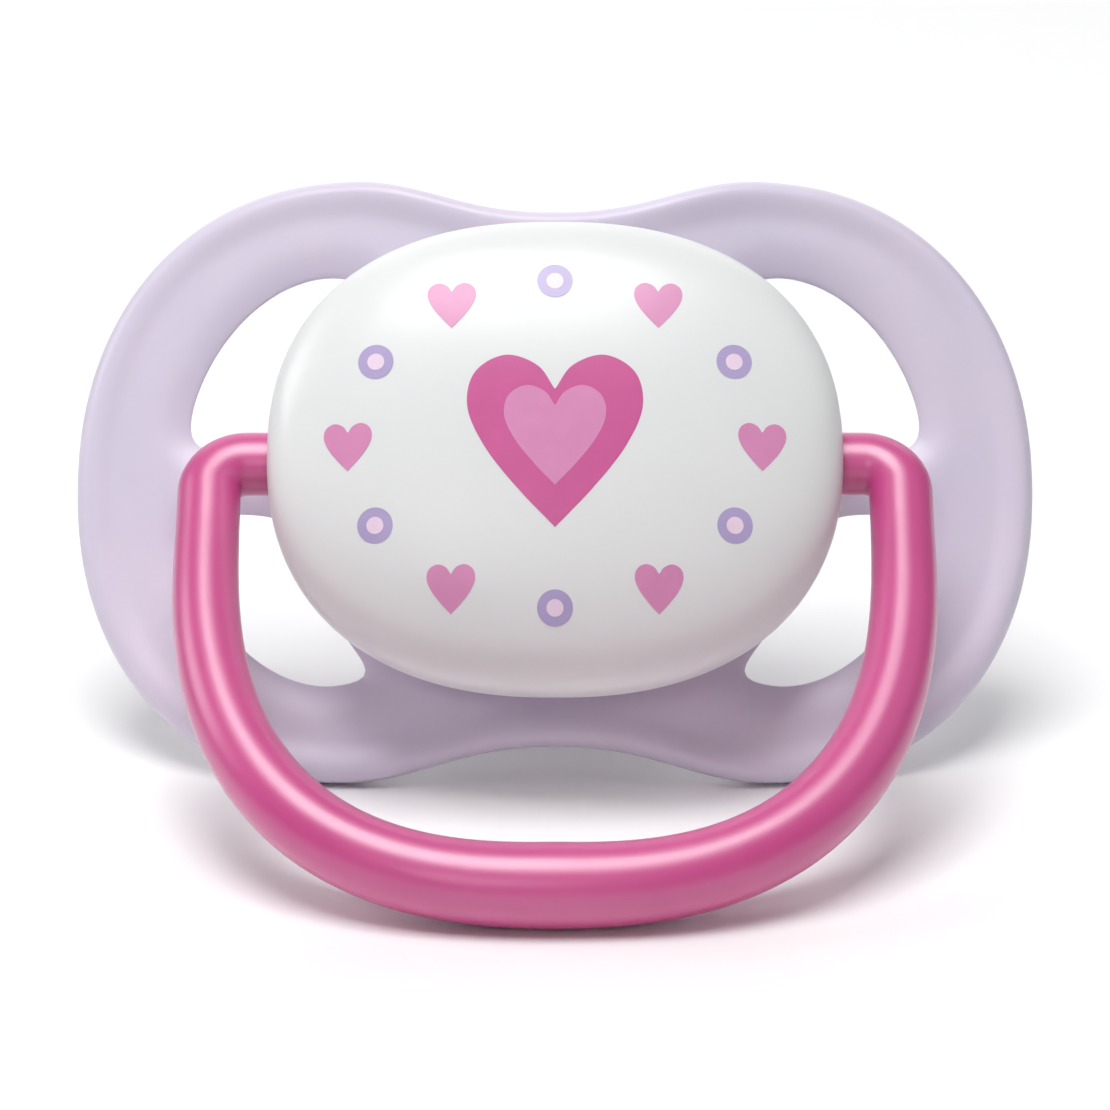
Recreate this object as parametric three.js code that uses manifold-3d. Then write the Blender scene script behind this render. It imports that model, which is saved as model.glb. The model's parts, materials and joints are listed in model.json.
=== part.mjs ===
// A baby's pacifier, resting on a table. It leans back on the two lower lobes of its shield and on its
// nipple, and the ring handle has swung forward until it touches the table.
//
// Every piece is drawn in the face frame: x to the right, y up the shield, z out of the front of the shield,
// with the origin at the shield's centre. Millimetres. The last section stands the finished pacifier on the
// table, +Z up.
import * as THREE from "three";
import { mergeVertices } from "three/addons/utils/BufferGeometryUtils.js";
import { TessellateModifier } from "three/addons/modifiers/TessellateModifier.js";
import Module from "manifold-3d";

// How it stands
const LEAN = 29.9; // degrees that the shield leans back from upright
const HANDLE_SWING = 27.25; // degrees that the handle has swung forward from the shield's plane

// Shield: a bean-shaped plate, bent round the mouth, with two lobes above and two below
const SHIELD_HALF_WIDTH = 29.25;
const LOBE_X = 12.5; // where the lobes are highest
const LOBE_Y = 18.56;
const DIP_Y = 16.43; // half height on the centre line, for the nose and the chin
const SIDE_POWER = 2.17; // squareness of the rounded sides
const DIP_POWER = 1.2; // over 1 widens the dip
const PLATE_FRONT = 1.2;
const PLATE_BACK = -1.4;
const EDGE_ROUND = 1.2;
const BEND_RADIUS = 131;
const PLATE_STEP = 6; // longest edge of the bent plate's facets

// Vents: two on each side, parted by an arm that runs from the hub to the rim
const VENT = { x: 13.24, halfWidth: 9.7, halfHeight: 12.8, power: 1.96 };
const VENT_INNER = { halfWidth: 15.5, halfHeight: 14.5, power: 2.33 };
const ARM_HALF_HEIGHT = 1.85;
const VENT_CORNER = 1.2; // larger values round the vent's corners more
const VENT_MIDDLE = { x: 17.2, y: 7 };

// Hub: the flat disc in the middle of the shield, with the seats for the handle
const HUB = { halfWidth: 15.3, halfHeight: 13.8, power: 2.33 };
const HUB_FRONT = 2;
const HUB_BACK = -2.2;
const BORE_RADIUS = 6.3;
const RECESS_RADIUS = 9.4;
const RECESS_FLOOR = 0.4;
const SEAT_IN = 9.9; // the handle's seats reach from here to the hub's edge
const SEAT_OUT = 14.5;
const SEAT_HALF_HEIGHT = 3.4;
const SPIGOT_TOP = 3.6; // a low wall on the hub that the cap fits over
const SPIGOT_WALL = 1.2;

// Cap: a pebble-shaped shell that covers the hub
const CAP = { halfWidth: 17.15, halfHeight: 14.25, power: 2.33 };
const CAP_WALL = 1.4;
const CAP_RIM = 2.3; // height of its open edge
const CAP_WIDEST = 6.9;
const CAP_CROWN = 12.2;
const CAP_RIM_SCALE = 0.965; // it draws in a little towards its open edge
const DOME_POWER = 2.3;
const SKIRT_RADIUS = 8.1; // inner skirt that holds the nipple plug down
const SKIRT_WALL = 1.2;

// Handle: a D-shaped ring, thin at its pivots and thicker at the bottom
const PIVOT_Z = 4.6;
const HANDLE_HALF_WIDTH = 20.64; // to the middle of the bar, as the lengths below are
const HANDLE_LENGTH = 30.35; // from the pivots to the bottom
const HANDLE_SIDE = 6; // where its straight sides end
const HANDLE_CORNER = 2.25; // radius of the two upper corners
const HANDLE_POWER = 2.53; // squareness of the round bottom
const BAR_RADIUS = 1.9;
const BOTTOM_RADIUS = 2.49;
const THICKENS_FROM = 0.27; // share of the way from bar end to bottom
const BAR_END = 10.6;
const COLLAR_RADIUS = 2.7;
const COLLAR_IN = 11.9;
const COLLAR_OUT = 13.1;
const PIVOT_CLEARANCE = 0.2;
const NOTCH_DEPTH = 4; // the cap's notches for the bars reach this far in from its sides

// Nipple: hollow, flattened towards the tongue
const GAP = 0.3; // between pieces that touch
const NIPPLE_LENGTH = 26.35; // from the hub's back to the tip
const NIPPLE_WALL = 1.3;
const NECK_AT = 4;
const BULB_AT = 19.4;
const ROOT_RADIUS = 5.95;
const NIPPLE_WIDE = { neck: 4.9, bulb: 7.7 };
const NIPPLE_FLAT = { neck: 4.5, bulb: 5.5 };
const NIPPLE_SECTIONS = [16, 12.5, 9, 5.5, 2.5, 0]; // depths behind the hub, between the bulb and the root
const FLANGE_RADIUS = 9.1;
const FLANGE_THICKNESS = 1.1;

// Plug: a top hat that clamps the nipple's flange
const PLUG_BRIM_RADIUS = 8.6;
const PLUG_BRIM_THICKNESS = 1;
const PLUG_STEM_RADIUS = 4.2;
const PLUG_WALL = 1.1;
const PLUG_END = -1.2;

const AROUND = 40; // facets round the oval pieces
const BAR_FACETS = 16; // facets round the seats and collars
const HANDLE_FACETS = 10; // facets round the ring
const SINK = 1; // a solid that is joined on starts this deep inside its neighbour
const CUT = 1; // a solid that cuts runs this far past the faces that it cuts

const wasm = await Module();
wasm.setup();

// ---------- solids ----------

function solid(geometry) {
  const bare = geometry.clone();
  bare.deleteAttribute("normal");
  bare.deleteAttribute("uv");
  const merged = mergeVertices(bare, 1e-4);
  return new wasm.Manifold(
    new wasm.Mesh({
      numProp: 3,
      vertProperties: new Float32Array(merged.attributes.position.array),
      triVerts: new Uint32Array(merged.index.array),
    }),
  );
}

function geometryOf(made) {
  const mesh = made.getMesh();
  return new THREE.BufferGeometry()
    .setAttribute("position", new THREE.BufferAttribute(mesh.vertProperties, 3))
    .setIndex(new THREE.BufferAttribute(mesh.triVerts, 1));
}

// A round bar along x, with its middle on the handle's axis.
function barAlongX(radius, from, to) {
  const bar = new THREE.CylinderGeometry(radius, radius, to - from, BAR_FACETS);
  bar.rotateZ(Math.PI / 2);
  bar.translate((from + to) / 2, 0, PIVOT_Z);
  return bar;
}

function box(x0, x1, y0, y1, z0, z1) {
  const block = new THREE.BoxGeometry(x1 - x0, y1 - y0, z1 - z0);
  return block.translate((x0 + x1) / 2, (y0 + y1) / 2, (z0 + z1) / 2);
}

// A turned piece about the z axis, from [radius, z] points that run from low z to high z on its outside.
function turned(profile) {
  const points = profile.map(([radius, z]) => new THREE.Vector2(radius, z));
  return new THREE.LatheGeometry(points, AROUND).rotateX(Math.PI / 2);
}

// ---------- ovals ----------

const signedPower = (value, power) => Math.sign(value) * Math.abs(value) ** power;

function ovalPoint(oval, angle) {
  return new THREE.Vector2(
    oval.halfWidth * signedPower(Math.cos(angle), 2 / oval.power),
    oval.halfHeight * signedPower(Math.sin(angle), 2 / oval.power),
  );
}

// A stack of ovals: rows of [scale, z], closed at both ends on the axis.
function ovalStack(oval, rows) {
  const stack = turned(rows);
  const position = stack.attributes.position;
  for (let i = 0; i < position.count; i++) {
    const x = position.getX(i);
    const y = position.getY(i);
    const edge = ovalPoint(oval, Math.atan2(y, x)).multiplyScalar(Math.hypot(x, y));
    position.setXY(i, edge.x, edge.y);
  }
  return stack;
}

// The same oval drawn in by a distance all round.
function drawnIn(oval, distance) {
  return {
    halfWidth: oval.halfWidth - distance,
    halfHeight: oval.halfHeight - distance,
    power: oval.power,
  };
}

function ovalDisc(oval, z0, z1) {
  return ovalStack(oval, [[0, z0], [1, z0], [1, z1], [0, z1]]);
}

// ---------- shield ----------

const bendAt = (x) => (-x * x) / (2 * BEND_RADIUS);

// One quarter of the rim, from the side to the top of the centre line.
function rimQuarter() {
  const points = [];
  const sideSteps = 12;
  for (let i = 0; i <= sideSteps; i++) {
    const angle = ((i / sideSteps) * Math.PI) / 2;
    const x = LOBE_X + (SHIELD_HALF_WIDTH - LOBE_X) * Math.cos(angle) ** (2 / SIDE_POWER);
    points.push(new THREE.Vector2(x, LOBE_Y * Math.sin(angle) ** (2 / SIDE_POWER)));
  }
  const dipSteps = 5;
  for (let i = 1; i <= dipSteps; i++) {
    const x = LOBE_X * (1 - i / dipSteps);
    const rise = (1 - Math.cos(Math.PI * (x / LOBE_X) ** DIP_POWER)) / 2;
    points.push(new THREE.Vector2(x, DIP_Y + (LOBE_Y - DIP_Y) * rise));
  }
  return points;
}

function rimOutline() {
  const quarter = rimQuarter();
  const mirror = (points, sx, sy) => points.map((p) => new THREE.Vector2(p.x * sx, p.y * sy));
  const back = [...quarter].reverse();
  return [
    ...quarter.slice(0, -1),
    ...mirror(back, -1, 1).slice(0, -1),
    ...mirror(quarter, -1, -1).slice(0, -1),
    ...mirror(back, 1, -1).slice(0, -1),
  ];
}

// Below zero inside the upper right vent. It blends the distances past the vent's outer curve, the hub's oval
// and the arm, so that the three meet in round corners.
function ventEdge(x, y) {
  const outer = ((Math.max(x - VENT.x, 0) / VENT.halfWidth) ** VENT.power
    + (Math.abs(y) / VENT.halfHeight) ** VENT.power) ** (1 / VENT.power);
  const inner = ((x / VENT_INNER.halfWidth) ** VENT_INNER.power
    + (Math.abs(y) / VENT_INNER.halfHeight) ** VENT_INNER.power) ** (1 / VENT_INNER.power);
  const past = [
    (outer - 1) * VENT.halfHeight,
    (1 - inner) * VENT_INNER.halfHeight,
    ARM_HALF_HEIGHT - y,
  ];
  return VENT_CORNER * Math.log(past.reduce((sum, d) => sum + Math.exp(d / VENT_CORNER), 0));
}

function ventOutline(sx, sy) {
  const points = [];
  const steps = 26;
  for (let i = 0; i < steps; i++) {
    const angle = (i / steps) * 2 * Math.PI;
    let inside = 0;
    let outside = VENT.halfHeight;
    for (let halving = 0; halving < 30; halving++) {
      const reach = (inside + outside) / 2;
      const x = VENT_MIDDLE.x + reach * Math.cos(angle);
      const y = VENT_MIDDLE.y + reach * Math.sin(angle);
      if (ventEdge(x, y) < 0) inside = reach;
      else outside = reach;
    }
    const x = VENT_MIDDLE.x + inside * Math.cos(angle);
    const y = VENT_MIDDLE.y + inside * Math.sin(angle);
    points.push(new THREE.Vector2(x * sx, y * sy));
  }
  return points;
}

function bentPlate() {
  const outline = new THREE.Shape(rimOutline());
  for (const sx of [-1, 1]) {
    for (const sy of [-1, 1]) outline.holes.push(new THREE.Path(ventOutline(sx, sy)));
  }
  const thickness = PLATE_FRONT - PLATE_BACK;
  const plate = new THREE.ExtrudeGeometry(outline, {
    depth: thickness - 2 * EDGE_ROUND,
    bevelThickness: EDGE_ROUND,
    bevelSize: EDGE_ROUND,
    bevelOffset: -EDGE_ROUND,
    bevelSegments: 2,
    curveSegments: 1,
  });
  plate.translate(0, 0, PLATE_BACK + EDGE_ROUND);
  const fine = new TessellateModifier(PLATE_STEP, 12).modify(plate);
  const position = fine.attributes.position;
  for (let i = 0; i < position.count; i++) {
    position.setZ(i, position.getZ(i) + bendAt(position.getX(i)));
  }
  return fine;
}

const ascending = (a, b) => [Math.min(a, b), Math.max(a, b)];

// Block that one bar end lies on, before its half-round seat is cut.
function seatBlock(side) {
  const x = ascending(side * SEAT_IN, side * SEAT_OUT);
  return solid(box(...x, -SEAT_HALF_HEIGHT, SEAT_HALF_HEIGHT, HUB_FRONT - SINK, PIVOT_Z));
}

// Room for the collar of one bar end.
function collarSlot(side) {
  const x = ascending(side * (COLLAR_IN - GAP), side * (COLLAR_OUT + GAP));
  return solid(barAlongX(COLLAR_RADIUS + GAP, ...x));
}

// The low wall that the cap fits over.
function spigot() {
  const opening = drawnIn(CAP, CAP_WALL);
  const fitted = {
    halfWidth: opening.halfWidth * CAP_RIM_SCALE - GAP,
    halfHeight: opening.halfHeight * CAP_RIM_SCALE - GAP,
    power: CAP.power,
  };
  const hollow = drawnIn(fitted, SPIGOT_WALL);
  return solid(ovalDisc(fitted, HUB_FRONT - SINK, SPIGOT_TOP))
    .subtract(solid(ovalDisc(hollow, HUB_FRONT - SINK - CUT, SPIGOT_TOP + CUT)));
}

function makeShield() {
  const front = HUB_FRONT + CUT;
  const back = HUB_BACK - CUT;
  const recess = turned([
    [0, RECESS_FLOOR],
    [RECESS_RADIUS, RECESS_FLOOR],
    [RECESS_RADIUS, front],
    [0, front],
  ]);
  const bore = turned([[0, back], [BORE_RADIUS, back], [BORE_RADIUS, front], [0, front]]);
  const made = solid(bentPlate())
    .add(solid(ovalDisc(HUB, HUB_BACK, HUB_FRONT)))
    .subtract(solid(recess))
    .subtract(solid(bore))
    .add(spigot())
    .add(seatBlock(-1))
    .add(seatBlock(1))
    .subtract(solid(barAlongX(BAR_RADIUS + PIVOT_CLEARANCE, -SHIELD_HALF_WIDTH, SHIELD_HALF_WIDTH)))
    .subtract(collarSlot(-1))
    .subtract(collarSlot(1));
  return geometryOf(made);
}

// ---------- cap ----------

function domeSolid(oval, rim, crown) {
  const rows = [[0, rim], [CAP_RIM_SCALE, rim]];
  const sideSteps = 3;
  for (let i = 1; i <= sideSteps; i++) {
    const left = 1 - i / sideSteps;
    rows.push([1 - (1 - CAP_RIM_SCALE) * left * left, CAP_WIDEST - (CAP_WIDEST - rim) * left]);
  }
  const domeSteps = 9;
  for (let i = 1; i <= domeSteps; i++) {
    const angle = ((i / domeSteps) * Math.PI) / 2;
    const scale = i < domeSteps ? Math.cos(angle) ** (2 / DOME_POWER) : 0;
    rows.push([scale, CAP_WIDEST + (crown - CAP_WIDEST) * Math.sin(angle) ** (2 / DOME_POWER)]);
  }
  return solid(ovalStack(oval, rows));
}

// The slot that lets the cap slip over one bar end from the front.
function barNotch(side) {
  const radius = BAR_RADIUS + PIVOT_CLEARANCE;
  const x = ascending(side * (CAP.halfWidth - NOTCH_DEPTH), side * (CAP.halfWidth + CUT));
  return solid(barAlongX(radius, ...x)).add(solid(box(...x, -radius, radius, CAP_RIM - CUT, PIVOT_Z)));
}

function makeCap() {
  const skirtEnd = HUB_FRONT + GAP + PLUG_BRIM_THICKNESS + GAP;
  const skirtTop = CAP_CROWN - CAP_WALL / 2;
  const skirt = turned([
    [SKIRT_RADIUS - SKIRT_WALL, skirtEnd],
    [SKIRT_RADIUS, skirtEnd],
    [SKIRT_RADIUS, skirtTop],
    [SKIRT_RADIUS - SKIRT_WALL, skirtTop],
    [SKIRT_RADIUS - SKIRT_WALL, skirtEnd],
  ]);
  const outside = domeSolid(CAP, CAP_RIM, CAP_CROWN);
  const made = outside
    .subtract(domeSolid(drawnIn(CAP, CAP_WALL), CAP_RIM - CUT, CAP_CROWN - CAP_WALL))
    .subtract(barNotch(-1))
    .subtract(barNotch(1))
    .add(solid(skirt).intersect(outside));
  return geometryOf(made);
}

// ---------- handle ----------

// The middle line of the right half of the ring, from the bar end to the bottom.
function handleHalf() {
  const points = [];
  const cornerX = HANDLE_HALF_WIDTH - HANDLE_CORNER;
  const barSteps = 3;
  for (let i = 0; i < barSteps; i++) {
    points.push(new THREE.Vector2(BAR_END + ((cornerX - BAR_END) * i) / barSteps, 0));
  }
  const cornerSteps = 6;
  for (let i = 0; i <= cornerSteps; i++) {
    const angle = ((i / cornerSteps) * Math.PI) / 2;
    const drop = HANDLE_CORNER * (1 - Math.cos(angle));
    points.push(new THREE.Vector2(cornerX + HANDLE_CORNER * Math.sin(angle), -drop));
  }
  const bottomSteps = 20;
  for (let i = 0; i <= bottomSteps; i++) {
    const angle = ((i / bottomSteps) * Math.PI) / 2;
    const x = i < bottomSteps ? HANDLE_HALF_WIDTH * Math.cos(angle) ** (2 / HANDLE_POWER) : 0;
    const drop = (HANDLE_LENGTH - HANDLE_SIDE) * Math.sin(angle) ** (2 / HANDLE_POWER);
    points.push(new THREE.Vector2(x, -HANDLE_SIDE - drop));
  }
  return points;
}

// A round bar of changing radius along the middle line: a straight cylinder with each ring of points moved to
// its place on the line.
function handleBar() {
  const half = handleHalf();
  const line = [...half, ...half.slice(0, -1).reverse().map((p) => new THREE.Vector2(-p.x, p.y))];
  const travelled = [0];
  for (let i = 1; i < line.length; i++) {
    travelled.push(travelled[i - 1] + line[i].distanceTo(line[i - 1]));
  }
  const length = travelled.at(-1);
  const bar = new THREE.CylinderGeometry(1, 1, 1, HANDLE_FACETS, line.length - 1);
  const position = bar.attributes.position;
  for (let i = 0; i < position.count; i++) {
    const station = Math.round((0.5 - position.getY(i)) * (line.length - 1));
    const before = line[Math.max(station - 1, 0)];
    const after = line[Math.min(station + 1, line.length - 1)];
    const along = after.clone().sub(before).normalize();
    const share = Math.min(travelled[station], length - travelled[station]) / (length / 2);
    const growth = Math.max(share - THICKENS_FROM, 0) / (1 - THICKENS_FROM);
    const radius = BAR_RADIUS + (BOTTOM_RADIUS - BAR_RADIUS) * growth;
    const across = position.getX(i) * radius;
    position.setXYZ(
      i,
      line[station].x + along.y * across,
      line[station].y - along.x * across,
      -position.getZ(i) * radius,
    );
  }
  return bar;
}

function makeHandle() {
  let made = solid(handleBar());
  for (const side of [-1, 1]) {
    const x = ascending(side * COLLAR_IN, side * COLLAR_OUT);
    made = made.add(solid(barAlongX(COLLAR_RADIUS, ...x).translate(0, 0, -PIVOT_Z)));
  }
  return geometryOf(made);
}

// ---------- nipple and plug ----------

// Half width or half thickness of the nipple's outside at a depth behind the hub.
function nippleHalf(depth, { neck, bulb }) {
  const root = (ROOT_RADIUS - neck) * Math.max(1 - depth / NECK_AT, 0) ** 2;
  const swell = THREE.MathUtils.smoothstep(depth, NECK_AT, BULB_AT);
  const nose = Math.max(depth - BULB_AT, 0) / (NIPPLE_LENGTH - BULB_AT);
  return (root + neck + (bulb - neck) * swell) * Math.sqrt(Math.max(1 - nose * nose, 0));
}

function makeNipple() {
  const flangeBack = RECESS_FLOOR + GAP;
  const flangeFront = flangeBack + FLANGE_THICKNESS;
  const depths = [];
  const noseSteps = 5;
  for (let i = 0; i <= noseSteps; i++) {
    const angle = ((i / noseSteps) * Math.PI) / 2;
    depths.push(BULB_AT + (NIPPLE_LENGTH - BULB_AT) * Math.cos(angle));
  }
  depths.push(...NIPPLE_SECTIONS);
  // Each row is one ring of points: its z, the depth that its half sizes are taken at, and how far inside
  // them it lies, which is below zero where it stands outside them.
  const outside = depths.map((depth) => ({ z: HUB_BACK - depth, depth, wall: 0 }));
  const inside = depths.map((depth) => ({ z: HUB_BACK - depth, depth, wall: NIPPLE_WALL })).reverse();
  inside[inside.length - 1].z += NIPPLE_WALL;
  const rows = [
    ...outside,
    { z: flangeBack, depth: 0, wall: 0 },
    { z: flangeBack, depth: 0, wall: ROOT_RADIUS - FLANGE_RADIUS },
    { z: flangeFront, depth: 0, wall: ROOT_RADIUS - FLANGE_RADIUS },
    { z: flangeFront, depth: 0, wall: NIPPLE_WALL },
    ...inside,
  ];
  const last = rows.length - 1;
  const made = turned(rows.map((row, i) => [i === 0 || i === last ? 0 : 1, i]));
  const position = made.attributes.position;
  for (let i = 0; i < position.count; i++) {
    const index = Math.round(position.getZ(i));
    const row = rows[index];
    const onAxis = index === 0 || index === last;
    const wide = onAxis ? 0 : Math.max(nippleHalf(row.depth, NIPPLE_WIDE) - row.wall, 0);
    const flat = onAxis ? 0 : Math.max(nippleHalf(row.depth, NIPPLE_FLAT) - row.wall, 0);
    position.setXYZ(i, position.getX(i) * wide, position.getY(i) * flat, row.z);
  }
  return geometryOf(solid(made));
}

function makePlug() {
  const brimBack = RECESS_FLOOR + GAP + FLANGE_THICKNESS + GAP;
  const brimFront = brimBack + PLUG_BRIM_THICKNESS;
  const floor = PLUG_END + PLUG_WALL;
  const bowl = PLUG_STEM_RADIUS - PLUG_WALL;
  return turned([
    [0, PLUG_END],
    [PLUG_STEM_RADIUS, PLUG_END],
    [PLUG_STEM_RADIUS, brimBack],
    [PLUG_BRIM_RADIUS, brimBack],
    [PLUG_BRIM_RADIUS, brimFront],
    [bowl, brimFront],
    [bowl, floor],
    [0, floor],
  ]);
}

// ---------- the assembly ----------

function piece(name, geometry, color, roughness) {
  const made = new THREE.Mesh(
    geometry,
    new THREE.MeshStandardMaterial({ color, roughness, metalness: 0 }),
  );
  made.name = name;
  return made;
}

const handlePivot = new THREE.Group();
handlePivot.position.z = PIVOT_Z;
handlePivot.rotation.x = -THREE.MathUtils.degToRad(HANDLE_SWING);
handlePivot.add(piece("ring_handle", makeHandle(), 0xd3568f, 0.25));

const face = new THREE.Group();
face.rotation.x = THREE.MathUtils.degToRad(90 - LEAN);
face.add(
  piece("shield", makeShield(), 0xd6cdde, 0.45),
  piece("front_cap", makeCap(), 0xf6f5f7, 0.15),
  piece("nipple", makeNipple(), 0xe9e7e2, 0.2),
  piece("nipple_plug", makePlug(), 0xf0eff2, 0.4),
  handlePivot,
);

// The origin is on the table, under the middle of the pacifier's box.
const pacifier = new THREE.Group();
pacifier.add(face);
const reach = new THREE.Box3().setFromObject(pacifier, true);
pacifier.position.set(-(reach.min.x + reach.max.x) / 2, -(reach.min.y + reach.max.y) / 2, -reach.min.z);

export default pacifier;
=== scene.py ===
"""The finished look of a baby's pacifier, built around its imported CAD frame.

Shapes are drawn in the face frame, in millimetres: x to the right, y up the shield, z out of the front of
the shield, with the origin at the shield's centre. on_face() and on_handle() carry them into the CAD frame,
in metres.
"""

import json
import math

import bmesh
import bpy
import numpy as np
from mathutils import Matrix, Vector
from mathutils.geometry import delaunay_2d_cdt

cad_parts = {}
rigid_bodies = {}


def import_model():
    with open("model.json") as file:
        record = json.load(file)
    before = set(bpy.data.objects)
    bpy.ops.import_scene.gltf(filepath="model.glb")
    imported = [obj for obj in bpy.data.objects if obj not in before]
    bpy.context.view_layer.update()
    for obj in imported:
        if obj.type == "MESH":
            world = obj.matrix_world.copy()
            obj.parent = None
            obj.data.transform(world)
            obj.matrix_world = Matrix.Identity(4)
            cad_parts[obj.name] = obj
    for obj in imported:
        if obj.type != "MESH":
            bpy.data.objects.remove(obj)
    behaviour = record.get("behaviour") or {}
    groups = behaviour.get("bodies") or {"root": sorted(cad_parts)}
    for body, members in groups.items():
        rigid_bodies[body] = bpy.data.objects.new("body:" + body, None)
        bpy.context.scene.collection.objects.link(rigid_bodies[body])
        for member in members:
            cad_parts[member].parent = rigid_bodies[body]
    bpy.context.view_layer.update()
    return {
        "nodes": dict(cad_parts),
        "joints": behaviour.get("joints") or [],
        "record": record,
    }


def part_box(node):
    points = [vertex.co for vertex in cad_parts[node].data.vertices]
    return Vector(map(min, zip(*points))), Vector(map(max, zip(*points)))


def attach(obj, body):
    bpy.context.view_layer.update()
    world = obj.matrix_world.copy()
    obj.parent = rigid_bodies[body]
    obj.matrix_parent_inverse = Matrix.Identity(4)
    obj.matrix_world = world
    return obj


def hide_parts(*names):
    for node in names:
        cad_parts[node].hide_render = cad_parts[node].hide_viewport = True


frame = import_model()

# ---------- what the frame gives ----------

MM = 0.001
HUB_MOUNT = frame["record"]["mounts"][0]
HINGE = frame["joints"][0]
FRONT = -Vector(HUB_MOUNT["axis"]).normalized()
RIGHT = Vector((1, 0, 0))
UP = FRONT.cross(RIGHT)
BODY, HANDLE_BODY = HINGE["parent"], HINGE["child"]

PIVOT_Z = 4.6  # the handle's axis, in front of the shield's middle
PIVOT = Vector(HINGE["pos_m"])
CENTRE = PIVOT - FRONT * PIVOT_Z * MM

# Shield
SHIELD_HALF_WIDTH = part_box("shield")[1].x / MM
LOBE_X = 12.5
LOBE_Y = 18.56
DIP_Y = 16.43
SIDE_POWER = 2.17
DIP_POWER = 1.2
PLATE_MIDDLE = -0.1
PLATE_HALF = 1.3
BACK_RIM_ROUND = 1.25
BACK_VENT_ROUND = 0.9
BEND_RADIUS = 131
VENT_X = 13.24
VENT_HALF_WIDTH = 9.7
VENT_HALF_HEIGHT = 12.8
VENT_POWER = 1.96
VENT_INNER_HALF_WIDTH = 15.5
VENT_INNER_HALF_HEIGHT = 14.5
ARM_HALF_HEIGHT = 1.85
VENT_CORNER = 1.2
VENT_ROUND = 0.35  # radius of a vent's front edge
VENT_SHOULDER = 0.72  # how far the front falls towards a vent
VENT_SLOPE = 2.4  # how wide that slope is
RIM_BEAD = 0.36  # how far the rolled rim stands above the flat
RIM_ROUND = 0.85  # radius of its outer edge
RIM_WIDTH = 2.6  # how far in it slopes down to the flat
HANDLE_ROOM = 0.15  # how much lower rim and flat lie, so that the handle clears them
FLAT_HALF = PLATE_HALF - RIM_BEAD - HANDLE_ROOM
SADDLE_RISE = 0.8  # how far the plate curls forward at the middle of its top
SADDLE_FROM = 9.0
VENT_MIDDLE = (17.2, 7.0)

# Hub
OVAL_POWER = 2.33
HUB_HALF_WIDTH = 15.0
HUB_HALF_HEIGHT = 13.2
HUB_STEP = 0.3  # half the width of the step from the plate to the hub
HUB_FRONT = 2.0
HUB_BACK = -2.2
BORE_RADIUS = 6.3
RECESS_RADIUS = 9.4
BORE_ROUND = 0.3
RECESS_FLOOR = 0.4

# Cap
CAP_HALF_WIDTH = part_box("front_cap")[1].x / MM
CAP_HALF_HEIGHT = 14.25
CAP_WALL = 1.4
CAP_RIM = 2.3
CAP_LIP = 0.35  # radius of the rim's outer edge
CAP_WIDEST = 6.9
CAP_CROWN = 12.2
CAP_RIM_SCALE = 0.965
DOME_POWER = 2.3

# Print on the cap
PRINT_HEART = 10.5  # width of the heart in the middle
PRINT_LIGHT_HEART = 0.58  # the light heart inside it, as a share of its width
PRINT_SMALL_HEART = 2.9
PRINT_DOT = 1.05
PRINT_LIGHT_DOT = 0.48
INK_HEIGHT = 0.016
INK_LAYER = 0.012  # how much higher each layer lies
INK_DEPTH = 0.05  # how far the film reaches into the cap
PRINT_RING = (12.2, 9.8)  # half width and half height of the ring of small shapes
PRINT_COUNT = 12

# Handle
HANDLE_SWING = math.radians(27.25)
HANDLE_HALF_WIDTH = 20.64
HANDLE_LENGTH = 30.35
HANDLE_SIDE = 6.0
HANDLE_CORNER = 2.25
HANDLE_POWER = 2.53
BAR_RADIUS = 1.9
BOTTOM_RADIUS = 2.49
THICKENS_FROM = 0.27
BAR_END = 10.6
COLLAR_RADIUS = 2.5
COLLAR_IN = 11.9
COLLAR_OUT = 13.1
COLLAR_BEVEL = 0.15
NOTCH_RADIUS = 2.1
NOTCH_DEPTH = 4.0
NOTCH_PAST = 3.0  # how far the cutter starts outside the cap

# Nipple
NIPPLE_LENGTH = 26.35
NIPPLE_WALL = 1.3
NECK_AT = 4.0
BULB_AT = 19.4
ROOT_RADIUS = 5.95
NIPPLE_WIDE = (4.9, 7.7)  # half widths of the neck and the bulb
NIPPLE_FLAT = (4.5, 5.5)
FLANGE_RADIUS = 9.1
FLANGE_BACK = 0.7
FLANGE_FRONT = 1.8
FLANGE_BEVEL = 0.2


def on_face(points):
    """Face-frame millimetres to metres in the CAD frame."""
    axes = np.array([RIGHT, UP, FRONT])
    return np.array(CENTRE) + np.asarray(points, float) @ axes * MM


def on_handle(points):
    """The same for the handle, which is drawn hanging along -y from its axis, then swung forward."""
    p = np.asarray(points, float)
    cos, sin = math.cos(HANDLE_SWING), math.sin(HANDLE_SWING)
    y = p[:, 1] * cos + p[:, 2] * sin
    z = PIVOT_Z - p[:, 1] * sin + p[:, 2] * cos
    return on_face(np.stack([p[:, 0], y, z], 1))


# ---------- meshes ----------


def mesh_piece(name, points, faces, sharp_angle=40):
    """A smooth-shaded object whose edges stay crisp where its faces meet at more than sharp_angle degrees."""
    mesh = bpy.data.meshes.new(name)
    mesh.from_pydata([tuple(p) for p in points], [], faces)
    mesh.validate()
    obj = bpy.data.objects.new(name, mesh)
    bpy.context.scene.collection.objects.link(obj)
    tidy_shading(mesh, sharp_angle)
    return obj


def tidy_shading(mesh, sharp_angle):
    bm = bmesh.new()
    bm.from_mesh(mesh)
    bmesh.ops.recalc_face_normals(bm, faces=bm.faces)
    for face in bm.faces:
        face.smooth = True
    for edge in bm.edges:
        edge.smooth = edge.calc_face_angle(0) < math.radians(sharp_angle)
    bm.to_mesh(mesh)
    bm.free()


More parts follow.
